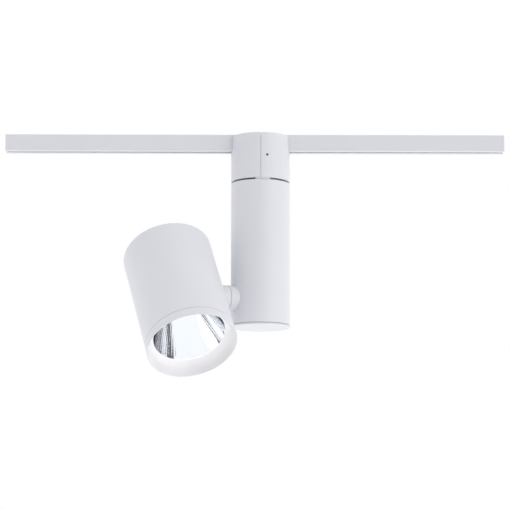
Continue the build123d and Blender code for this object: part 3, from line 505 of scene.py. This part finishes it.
def threaded_tube(radius, bore, length, pitch, turns=60):
    """A tube along Z from height 0: thread outside, ends bevelled, plain bore."""
    bevel = 0.5
    coil, coil_station = thread(radius, 0.3 * pitch, pitch, bevel, length - bevel, turns)
    return lathe(
        [bore, radius - bevel, *coil, radius - bevel, bore],
        [0, 0, *coil_station, length, length], turns,
    )


def wave_washer(radius, bore, low, high, sheet, waves=3, turns=96):
    """A spring washer along Z: a flat ring of sheet, its height a cosine of so many waves."""
    angle = np.linspace(0, 2 * math.pi, turns, endpoint=False)
    wave = (low + high) / 2 + (high - low - sheet) / 2 * np.cos(waves * angle)
    grid = lathe([bore, radius, radius, bore], [0, 0, 0, 0], turns)
    grid[..., 2] = wave + np.array([-1, -1, 1, 1])[:, None] * sheet / 2
    return grid


pan_tube_bottom = -67.0
pan_tube_shape = threaded_tube(radius=5.0, bore=3.5, length=23.5, pitch=1.0)
pan_tube = skin("pivot_tube", zinc_steel, [
    stand(pan_tube_shape, axes((0, 0, pan_tube_bottom), (1, 0, 0), up))
])
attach(pan_tube, "adapter")
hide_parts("pan_tube")

pan_nut = hex_nut(corner=8.5, height=4.4, bore=5.05, pitch=1.0)
for node, nut_bottom in (("pan_upper_nut", -49.25), ("pan_lower_nut", -63.45)):
    nut = skin(node + "_cut", zinc_steel, [stand(pan_nut, axes((0, 0, nut_bottom), (1, 0, 0), up))])
    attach(nut, "adapter")
    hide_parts(node)

pan_washer_top = -57.95
pan_washer_shape = wave_washer(radius=8.5, bore=5.1, low=-1.0, high=0.0, sheet=0.5)
pan_washer = skin("pivot_wave_washer", zinc_steel, [
    stand(pan_washer_shape, axes((0, 0, pan_washer_top), (1, 0, 0), up))
])
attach(pan_washer, "adapter")
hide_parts("pan_spring_washer")
dress(["pan_thrust_washer"], zinc_steel)
dress(["pan_stop_pin"], dark_steel)

# --- Supply leads -------------------------------------------------------------------------------
# Two PVC leads, brown and blue, run from the contacts down into the hollow pivot, on their way
# to the driver.


def lead_pair(name, first, second, across, middle=0.0):
    """Extruded PVC on two leads side by side: glossy, a little wavy, one colour each side of
    a plane that lies across this direction, at this distance in millimetres."""
    material, tree, shader, place = finish(name)
    waves = add(tree, "TexNoise", Vector=place, Scale=1 / (1.5 * MILLIMETRE), Detail=1.0)
    offset = add(tree, "VectorMath", operation="DOT_PRODUCT", Vector=place, Vector_001=tuple(across))
    side = add(tree, "Math", operation="GREATER_THAN", Value=offset.outputs["Value"],
               Value_001=middle * MILLIMETRE)
    tint = add(tree, "Mix", data_type="RGBA", Factor_Float=side, A_Color=linear(first),
               B_Color=linear(second))
    bump = add(tree, "Bump", Strength=1.0, Distance=0.02 * MILLIMETRE, Height=waves)
    tree.links.new(tint.outputs["Result"], shader.inputs["Base Color"])
    tree.links.new(bump.outputs["Normal"], shader.inputs["Normal"])
    shader.inputs["Roughness"].default_value = 0.35
    return material


dress(["supply_leads"], lead_pair("brown_and_blue_pvc_supply", "5A3424", "2A5FA8", (1, 0, 0)))

# --- Column -------------------------------------------------------------------------------------
# Extruded aluminium tube, powder coated, with a turned plate pressed in above, a grey acetal
# disc to rub on the adapter, and a coated cap snapped in below.

dress(["column_tube", "end_cap"], white_coat)
dress(["friction_disc"], moulded("grey_acetal", "8C8E92", 0.6, 0.35))

# --- Driver -------------------------------------------------------------------------------------
# The power supply that turns mains current into the light's own. Its two-part case of grey
# ABS hangs from the top plate on a zinc plated bracket.

dress(["driver_case", "driver_lid"], moulded("grey_moulded_abs", "77797C", 0.7, 0.45))
dress(["driver_bracket"], zinc_steel)
joints = {joint["name"]: joint for joint in frame["record"]["behaviour"]["joints"]}
hinge_dir = np.array(joints["tilt"]["axis"])
column_across = np.cross(up, hinge_dir)


def column_axes(height):
    """Axes in the column: X towards the hinge, Z up."""
    return axes((0, 0, height), hinge_dir, up)


# Glass laminate under green solder mask: glossy, with the copper tracks just showing through.
board_green, tree, shader, place = finish("green_solder_mask_on_fr4")
grid_turn = add(tree, "Mapping", Vector=place, Rotation=(0, 0, -math.atan2(hinge_dir[1], hinge_dir[0])))
paths = add(tree, "TexBrick", Vector=grid_turn, Scale=1 / (12 * MILLIMETRE), Mortar_Size=0.03,
            Color1=linear("0F5A33"), Color2=linear("11633A"), Mortar=linear("1E7A4A"))
weave = add(tree, "TexNoise", Vector=place, Scale=1 / (0.5 * MILLIMETRE), Detail=1.0)
bump = add(tree, "Bump", Strength=1.0, Distance=0.008 * MILLIMETRE, Height=weave)
tree.links.new(paths.outputs["Color"], shader.inputs["Base Color"])
tree.links.new(bump.outputs["Normal"], shader.inputs["Normal"])
shader.inputs["Roughness"].default_value = 0.28
dress(["driver_board"], board_green)


def block(low, high, edge, turns=64, squareness=12.0):
    """A box between two corners, edges rounded: each row is a superellipse, |x| and |y| to the
    power of the squareness, and the rows close in at both ends."""
    low, high = np.asarray(low, float), np.asarray(high, float)
    half, middle = (high - low) / 2, (high + low) / 2
    angle = np.linspace(0, 2 * math.pi, turns, endpoint=False)
    radius = (np.abs(np.cos(angle)) ** squareness + np.abs(np.sin(angle)) ** squareness)
    radius = radius ** (-1 / squareness)
    outline = np.stack([np.cos(angle) * radius, np.sin(angle) * radius], axis=-1)
    inset = edge * np.array([half.min() / edge, 1, 0.3, 0, 0, 0.3, 1, half.min() / edge])
    drop = edge * np.array([0, 0, 0.3, 1, -1, -0.3, 0, 0])
    drop += np.array([low[2]] * 4 + [high[2]] * 4)
    side = half[:2] - inset[:, None]
    side[[0, -1]] = 0
    flat = outline * side[:, None, :] + middle[:2]
    return np.concatenate([flat, np.broadcast_to(drop[:, None, None], (8, turns, 1))], axis=-1)


# Yellow polyester tape wound over the coil: glossy, with the edges of its laps about 2.5 mm apart.
tape, tree, shader, place = finish("yellow_polyester_tape")
laps = add(tree, "TexWave", wave_type="BANDS", bands_direction="Z", wave_profile="SAW", Vector=place,
           Scale=1 / (2 * math.pi * 2.5 * MILLIMETRE) * 2)
grain = add(tree, "TexNoise", Vector=place, Scale=1 / (1.0 * MILLIMETRE), Detail=2.0)
tint = add(tree, "Mix", data_type="RGBA", Factor_Float=laps, A_Color=linear("E3B62C"),
           B_Color=linear("CFA01C"))
bump = add(tree, "Bump", Strength=1.0, Distance=0.05 * MILLIMETRE, Height=laps)
rough = add(tree, "MapRange", Value=grain, From_Min=0.3, From_Max=0.7, To_Min=0.2, To_Max=0.32)
tree.links.new(tint.outputs["Result"], shader.inputs["Base Color"])
tree.links.new(rough.outputs["Result"], shader.inputs["Roughness"])
tree.links.new(bump.outputs["Normal"], shader.inputs["Normal"])

board_face = -7.2
transformer_bottom = -126.0
winding_edge = 1.5
moulded_edge = 0.4
winding = skin("transformer_winding", tape, [
    stand(block((board_face + 2, -10.5, 1.2), (board_face + 16, 10.5, 16.8), winding_edge),
          column_axes(transformer_bottom))
])
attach(winding, "column")
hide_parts("driver_transformer")

ferrite = moulded("sintered_ferrite", "3A3B3E", 0.3, 0.5)
core = skin("transformer_core", ferrite, [
    stand(block((board_face + 2.5, low, 4.6), (board_face + 15.5, high, 13.4), moulded_edge),
          column_axes(transformer_bottom))
    for low, high in ((-12.9, -9.6), (9.6, 12.9))
])
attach(core, "column")
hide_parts("driver_transformer")
bobbin = skin("transformer_bobbin", black_nylon, [
    stand(block((board_face, -10.9, low), (board_face + 15.9, 10.9, high), moulded_edge),
          column_axes(transformer_bottom))
    for low, high in ((0.05, 1.15), (16.85, 17.95))
])
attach(bobbin, "column")
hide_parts("driver_transformer")

# Electrolytic capacitors: aluminium cans in shrunk dark blue sleeve, crimped near the foot.
sleeve_blue = moulded("dark_blue_shrunk_pvc", "1D2438", 1.2, 0.3)
capacitor_places = ((-9.5, -100.0), (9.5, -100.0), (11.0, -137.0))
sleeve_outline = ((3.6, 0.1), (4.9, 0.3), (5.0, 1.0), (5.0, 2.2), (4.7, 2.7), (4.7, 3.1), (5.0, 3.6),
                  (5.0, 14.2), (4.85, 14.8), (4.4, 14.95), (4.3, 14.8), (3.6, 14.7))
can_outline = ((0, 0.05), (3.5, 0.05), (3.5, 14.6), (4.25, 14.6), (4.25, 14.75), (3.9, 14.85), (0, 14.9))
for name, outline, material, slot in (
    ("capacitor_sleeves", sleeve_outline, sleeve_blue, "capacitor_sleeve"),
    ("capacitor_cans", can_outline, turned_aluminium, "plain_aluminium"),
):
    capacitors = skin(name, material, [
        stand(lathe(*zip(*outline), 48), axes(
            hinge_dir * board_face + column_across * across + (0, 0, height), up, hinge_dir))
        for across, height in capacitor_places
    ])
    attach(capacitors, "column")
    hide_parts("driver_capacitors")

# Terminal blocks: green nylon, two ways each, with zinc plated clamping screws.
terminal_green = moulded("green_moulded_nylon", "3E9A5C", 0.6, 0.4)
terminal_bottoms = (-90.0, -150.0)
way_middle = 2.75
way_half = 2.72
way_depth = 9.6
way_height = 8.0
terminals = skin("terminal_blocks", terminal_green, [
    stand(block((board_face, side * way_middle - way_half, 0),
                (board_face + way_depth, side * way_middle + way_half, way_height), moulded_edge),
          column_axes(bottom))
    for bottom in terminal_bottoms for side in (-1, 1)
])
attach(terminals, "column")
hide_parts("driver_terminals")
clamp_screw = socket_screw(shank=1.2, length=2.0, cap=1.9, height=0.35, socket=0.8, bearing=1.9,
                           pitch=0.5)
clamp_screw_seat = 9.62
terminal_screws = skin("terminal_screws", zinc_steel, [
    stand(clamp_screw, axes(
        hinge_dir * (board_face + clamp_screw_seat) + column_across * side * way_middle
        + (0, 0, bottom + way_height / 2), up, hinge_dir))
    for bottom in terminal_bottoms for side in (-1, 1)
])
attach(terminal_screws, "column")
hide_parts("driver_terminals")

bracket_top = -57.9
bracket_sheet = 1.35
bracket_screw_distance = -24.5
bracket_screw = socket_screw(shank=1.25, length=3.5, cap=2.2, height=1.8, socket=0.9, bearing=2.2,
                             pitch=0.5)
bracket_screws = skin("bracket_screw_pair", zinc_steel, [
    stand(bracket_screw, axes(
        hinge_dir * bracket_screw_distance + column_across * across + (0, 0, bracket_top - bracket_sheet),
        hinge_dir, down))
    for across in (-3, 3)
])
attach(bracket_screws, "column")
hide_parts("bracket_screws")

driver_bottom = -154.0
driver_screw_distance = -14.45
driver_screw = socket_screw(shank=1.25, length=2.5, cap=2.2, height=1.8, socket=0.9, bearing=2.2,
                            pitch=0.5)
driver_screws = skin("driver_screw_pair", zinc_steel, [
    stand(driver_screw, axes(
        hinge_dir * driver_screw_distance + (0, 0, driver_bottom + height), up, -hinge_dir))
    for height in (16.0, 64.0)
])
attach(driver_screws, "column")
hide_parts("driver_screws")

dress(["driver_input_leads"], lead_pair("brown_and_blue_pvc_input", "5A3424", "2A5FA8", column_across))
dress(["driver_output_leads"], lead_pair("black_and_red_pvc", "1E1E20", "B02A24", column_across))

# --- Tilting joint ------------------------------------------------------------------------------
# A coated hub is screwed to a steel bracket inside the tube. The head's hollow axle runs in it
# between a waved spring washer and a nut, and a grey steel pin in the hub limits the tilt.

dress(["column_hub"], white_coat)
dress(["hinge_bracket"], zinc_steel)
dress(["tilt_stop_pin"], dark_steel)
dress(["hinge_friction_washer"], moulded("grey_acetal_washer", "8C8E92", 0.4, 0.35))
nose_dir = np.cross(hinge_dir, up) * -1
head_centre = np.array(joints["tilt"]["pos_m"]) / MILLIMETRE
hinge_height = head_centre[2]


def hinge_axes(distance):
    """Axes across the tilt axis, this far from the column's axis: Z towards the head."""
    return axes(hinge_dir * distance + (0, 0, hinge_height), nose_dir, hinge_dir)


def local(placing, place, turned=False):
    """Axes at a place given in other axes, or turned end for end there."""
    origin, directions = placing
    facing = -directions[2] if turned else directions[2]
    return axes(origin + np.asarray(place) @ directions, directions[0], facing)


hub_screw_seat = 18.95
hub_screw_circle = 10.4
hub_screw = socket_screw(shank=1.1, length=9.0, cap=1.9, height=2.0, socket=0.95, bearing=1.9,
                         pitch=0.45)
hub_screws = skin("hub_screw_set", zinc_steel, [
    stand(hub_screw, local(hinge_axes(hub_screw_seat), place, turned=True))
    for place in ring_places(hub_screw_circle, (45, 135, 225, 315))
])
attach(hub_screws, "column")
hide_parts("hub_screws")

axle_start = 12.0
axle = threaded_tube(radius=5.0, bore=3.0, length=45.97, pitch=1.0)
hinge_axle = skin("hollow_axle", zinc_steel, [stand(axle, hinge_axes(axle_start))])
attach(hinge_axle, "head")
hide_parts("hinge_axle")

axle_nut = hex_nut(corner=8.0, height=4.0, bore=5.05, pitch=1.0)
for node, start in (("hinge_inner_nut", 13.75), ("hinge_outer_nut", 51.52)):
    nut = skin(node + "_cut", zinc_steel, [stand(axle_nut, hinge_axes(start))])
    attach(nut, "head")
    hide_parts(node)

hinge_washer_top = 18.85
hinge_washer_shape = wave_washer(radius=7.8, bore=5.1, low=-1.0, high=0.0, sheet=0.5)
hinge_washer = skin("axle_wave_washer", zinc_steel, [
    stand(hinge_washer_shape, hinge_axes(hinge_washer_top))
])
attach(hinge_washer, "head")
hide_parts("hinge_spring_washer")

# --- Head housing and heat sink -----------------------------------------------------------------
# A deep die-cast cup with its hinge boss, powder coated outside. A plain aluminium heat sink
# is held to three lugs in it by cap screws.

tilt_angle = math.radians(-joints["tilt"]["range_deg"][0])
beam_dir = nose_dir * math.sin(tilt_angle) + np.array(down) * math.cos(tilt_angle)
dress(["head_housing"], white_coat)
dress(["heat_sink"], dull_metal("die_cast_aluminium", "CDCFD2", "B3B5B9", 0.42))


def head_axes(distance):
    """Axes in the head, this far in front of the tilt axis: Z along the beam."""
    return axes(head_centre + beam_dir * distance, hinge_dir, beam_dir)


sink_screw_seat = 5.05
sink_screw_circle = 38.5
sink_screw = socket_screw(shank=1.95, length=14.0, cap=3.5, height=2.4, socket=1.5, bearing=3.5,
                          pitch=0.7)
sink_screws = skin("sink_screw_set", zinc_steel, [
    stand(sink_screw, local(head_axes(sink_screw_seat), place))
    for place in ring_places(sink_screw_circle, (0, 120, 240))
])
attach(sink_screws, "head")
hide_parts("sink_screws")

# --- Light engine -------------------------------------------------------------------------------
# A ceramic board with its round field of dies under yellow phosphor, lit, inside a dam of
# white silicone. A moulded white holder presses it to the heat sink with two screws.

dress(["led_board"], moulded("white_alumina_ceramic", "F0F0EC", 0.2, 0.5))
white_pbt = moulded("white_moulded_pbt", "ECECE8", 0.8, 0.4)
white_silicone = moulded("white_silicone", "F2F2EE", 1.0, 0.5)
board_front = 6.5
dam_outline = ((9.5, 0), (9.5, 0.45), (9.75, 0.68), (10.2, 0.78), (10.65, 0.68), (10.95, 0.4), (11.0, 0))
dam = skin("emitter_dam", white_silicone, [
    stand(lathe(*zip(*dam_outline), 96), head_axes(board_front))
])
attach(dam, "head")
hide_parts("led_emitter")

# Lit phosphor in clear silicone: near white where it burns brightest, over each die in the
# rows 1.6 mm apart, and warmer between them.
phosphor, tree, shader, place = finish("lit_phosphor_in_silicone")
die_pitch = 1.6 * MILLIMETRE
head_across = np.cross(beam_dir, hinge_dir)
rows = []
for across in (hinge_dir, head_across):
    offset = add(tree, "VectorMath", operation="DOT_PRODUCT", Vector=place,
                 Vector_001=tuple(across / die_pitch)).outputs["Value"]
    middle = float(head_centre @ across) * MILLIMETRE / die_pitch
    shifted = add(tree, "Math", operation="SUBTRACT", Value=offset, Value_001=middle)
    wave = add(tree, "Math", operation="PINGPONG", Value=shifted, Value_001=0.5)
    rows.append(add(tree, "MapRange", Value=wave, From_Min=0.12, From_Max=0.22, To_Min=0.0, To_Max=1.0))
dies = add(tree, "Math", operation="MULTIPLY", Value=rows[0], Value_001=rows[1])
tint = add(tree, "Mix", data_type="RGBA", Factor_Float=dies, A_Color=linear("FFEED6"),
           B_Color=linear("FFF9F3"))
power = add(tree, "MapRange", Value=dies, To_Min=70.0, To_Max=120.0)
tree.links.new(tint.outputs["Result"], shader.inputs["Emission Color"])
tree.links.new(power.outputs["Result"], shader.inputs["Emission Strength"])
shader.inputs["Base Color"].default_value = linear("F2D06A")
shader.inputs["Roughness"].default_value = 0.25
shader.inputs["IOR"].default_value = 1.41
phosphor_radius = 9.5
phosphor_height = 0.7
phosphor_crown = 0.25
dome_radius = np.linspace(0, phosphor_radius, 12)
dome_height = phosphor_height - phosphor_crown * (dome_radius / phosphor_radius) ** 2
dome = lathe([*dome_radius, phosphor_radius, 0], [*dome_height, 0, 0], 96)
emitter = skin("emitter_phosphor", phosphor, [stand(dome, head_axes(board_front))])
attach(emitter, "head")
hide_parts("led_emitter")

# The holder's grip: grooves round its rim, a cosine made steep and cut off at its floor.
holder_turns = 192
groove_count = 24
groove_depth = 0.35
groove_steepness = 4
angle = np.linspace(0, 2 * math.pi, holder_turns, endpoint=False)
grooves = groove_depth * np.clip(groove_steepness * np.cos(groove_count * angle), 0, 1)
holder_grid = lathe(
    [12.8, 13.0, 14.0, 14.3, 22.0 - grooves, 22.5 - grooves, 22.5 - grooves, 22.3, 20.4, 20.3, 20.3, 12.9],
    [6.65, 7.2, 9.8, 10.3, 10.3, 9.8, 5.6, 5.05, 5.05, 5.25, 6.55, 6.55], holder_turns,
)
holder = skin("moulded_holder", white_pbt, [stand(holder_grid, head_axes(0))])
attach(holder, "head")
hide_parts("led_holder")

holder_screw_seat = 10.35
holder_screw_circle = 19.5
holder_screw = socket_screw(shank=1.2, length=8.6, cap=1.8, height=1.3, socket=0.9, bearing=1.8,
                            pitch=0.5)
holder_screws = skin("holder_screw_pair", zinc_steel, [
    stand(holder_screw, local(head_axes(holder_screw_seat), place))
    for place in ring_places(holder_screw_circle, (90, 270))
])
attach(holder_screws, "head")
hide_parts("holder_screws")

head_middle = float(head_centre @ head_across)
dress(["led_leads"], lead_pair("black_and_red_pvc_head", "1E1E20", "B02A24", head_across, head_middle))

# --- Reflector and its carrier ------------------------------------------------------------------
# Moulded plastic cup, vapour coated with aluminium: a paraboloid broken into slightly raised
# facets, 84 round by 18 deep, with a smooth rim. A white moulded sleeve carries it.

dress(["reflector_carrier"], white_pbt)

# Vapour-coated aluminium on polished plastic: a mirror, very slightly hazy.
mirror_coat, tree, shader, place = finish("vapour_coated_aluminium_mirror")
haze = add(tree, "TexNoise", Vector=place, Scale=1 / (6 * MILLIMETRE), Detail=2.0)
rough = add(tree, "MapRange", Value=haze, From_Min=0.3, From_Max=0.7, To_Min=0.03, To_Max=0.08)
bump = add(tree, "Bump", Strength=1.0, Distance=0.004 * MILLIMETRE, Height=haze)
tree.links.new(rough.outputs["Result"], shader.inputs["Roughness"])
tree.links.new(bump.outputs["Normal"], shader.inputs["Normal"])
shader.inputs["Base Color"].default_value = linear("F5F7FA")
shader.inputs["Metallic"].default_value = 1.0

facets_round = 84
facets_deep = 18
facet_steps = 4
facet_bulge = 0.018
neck_radius = 14.5
facet_edge = 38.0
mouth_radius = 38.95
rim_radius = 43.3
skirt_radius = 39.8
rim_front = 58.6
rim_back = 57.8
wall = 0.8
vertex_station = 3.0
parabola = 27.3
corner_radius = np.linspace(neck_radius, facet_edge, facets_deep + 1)
corner_station = vertex_station + corner_radius ** 2 / parabola
step = np.arange(facets_deep * facet_steps + 1) / facet_steps
row_radius, row_station = (
    np.interp(step, np.arange(facets_deep + 1), corners) for corners in (corner_radius, corner_station)
)
half_facet = math.pi / facets_round
from_middle = (np.arange(facets_round * facet_steps) % facet_steps / facet_steps * 2 - 1) * half_facet
pillow = np.outer(1 - (2 * (step % 1) - 1) ** 2, 1 - (from_middle / half_facet) ** 2)
inside = np.outer(row_radius, math.cos(half_facet) / np.cos(from_middle)) - facet_bulge * pillow
cup = lathe(
    [*inside, mouth_radius, rim_radius, rim_radius, skirt_radius, *(corner_radius[::-1] + wall)],
    [*row_station, rim_front, rim_front, rim_back, rim_back, *corner_station[::-1]],
    facets_round * facet_steps,
)
reflector = skin("faceted_reflector", mirror_coat, [stand(cup, head_axes(0))], crease=1.5)
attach(reflector, "head")
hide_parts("reflector")

# --- Front ring ---------------------------------------------------------------------------------
# Turned aluminium bezel, powder coated white: it snaps into the housing, with a thin shadow
# gap, and its inside is a cone down to the reflector's mouth.


def rounded(corners, steps=6):
    """An outline whose corners (radius, station, fillet) are each an arc: the arc touches both
    sides at the fillet over the tangent of half the corner's angle from its point."""
    spots = np.array([corner[:2] for corner in corners], float)
    outline = []
    for here, before, after, corner in zip(spots, np.roll(spots, 1, 0), np.roll(spots, -1, 0), corners):
        back, ahead = (before - here), (after - here)
        back, ahead = back / np.linalg.norm(back), ahead / np.linalg.norm(ahead)
        half = math.acos(np.clip(back @ ahead, -1, 1)) / 2
        middle = (back + ahead) / np.linalg.norm(back + ahead)
        centre = here + middle * corner[2] / math.sin(half)
        sweep = np.linspace(-1, 1, steps) * (math.pi / 2 - half)
        side = np.array([-middle[1], middle[0]]) * np.sign(np.cross(middle, ahead))
        arc = np.cos(sweep)[:, None] * middle - np.sin(sweep)[:, None] * side
        outline.append(centre - corner[2] * arc)
    return np.concatenate(outline)


ring_corners = (
    (48.8, 64.8, 0.3), (48.8, 74.7, 0.3), (48.0, 74.7, 0.3), (42.8, 66.3, 0.6), (38.95, 59.3, 0.25),
    (38.95, 58.8, 0.1), (46.2, 58.8, 0.3), (46.2, 64.3, 0.1),
)
ring_outline = rounded(ring_corners)
ring = skin("turned_front_ring", white_coat, [
    stand(lathe(ring_outline[:, 0], ring_outline[:, 1], 256), head_axes(0))
])
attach(ring, "head")
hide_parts("front_ring")
